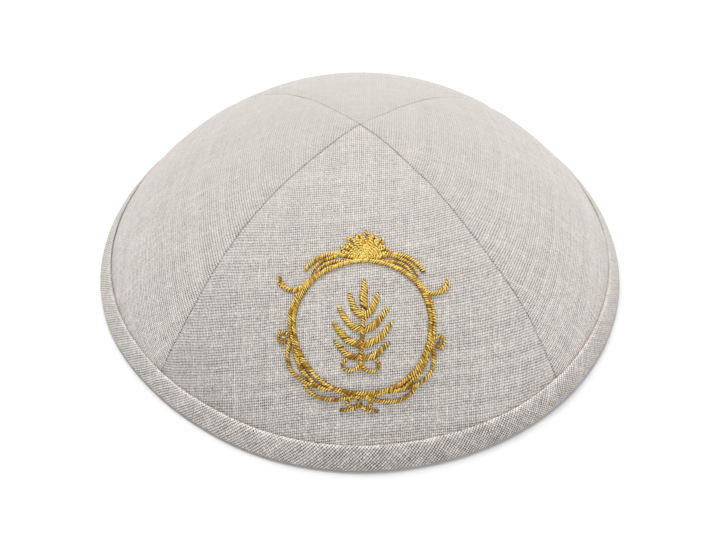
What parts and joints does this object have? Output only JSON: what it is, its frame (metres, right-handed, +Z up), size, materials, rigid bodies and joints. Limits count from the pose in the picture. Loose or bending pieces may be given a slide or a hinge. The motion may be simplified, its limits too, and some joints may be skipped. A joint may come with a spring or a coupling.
{
  "type": "kippah skullcap",
  "caption": "Shallow round linen skullcap of sewn gores with a bias-bound rim and gold satin-stitched ring frame and leaf sprig on its front.",
  "frame": {"origin": "centre of the rim, on the plane it rests on", "axes": "+Z up through the crown, -Y towards the embroidered front panel, +X to the right as seen from the front"},
  "size_m": [0.165, 0.165, 0.0503],
  "materials": {
    "panel_linen": "plain-woven warm grey linen, matt, with slubs",
    "binding_linen": "the same linen cut on the bias and folded over the edge",
    "gold_thread": "satin-stitched gold embroidery thread with a soft gloss"
  },
  "bodies": {
    "root": {"panel_front": "panel_linen", "panel_right": "panel_linen", "panel_back": "panel_linen", "panel_left": "panel_linen", "rim_binding": "binding_linen", "embroidery_frame": "gold_thread", "embroidery_motif": "gold_thread"}
  },
  "joints": []
}
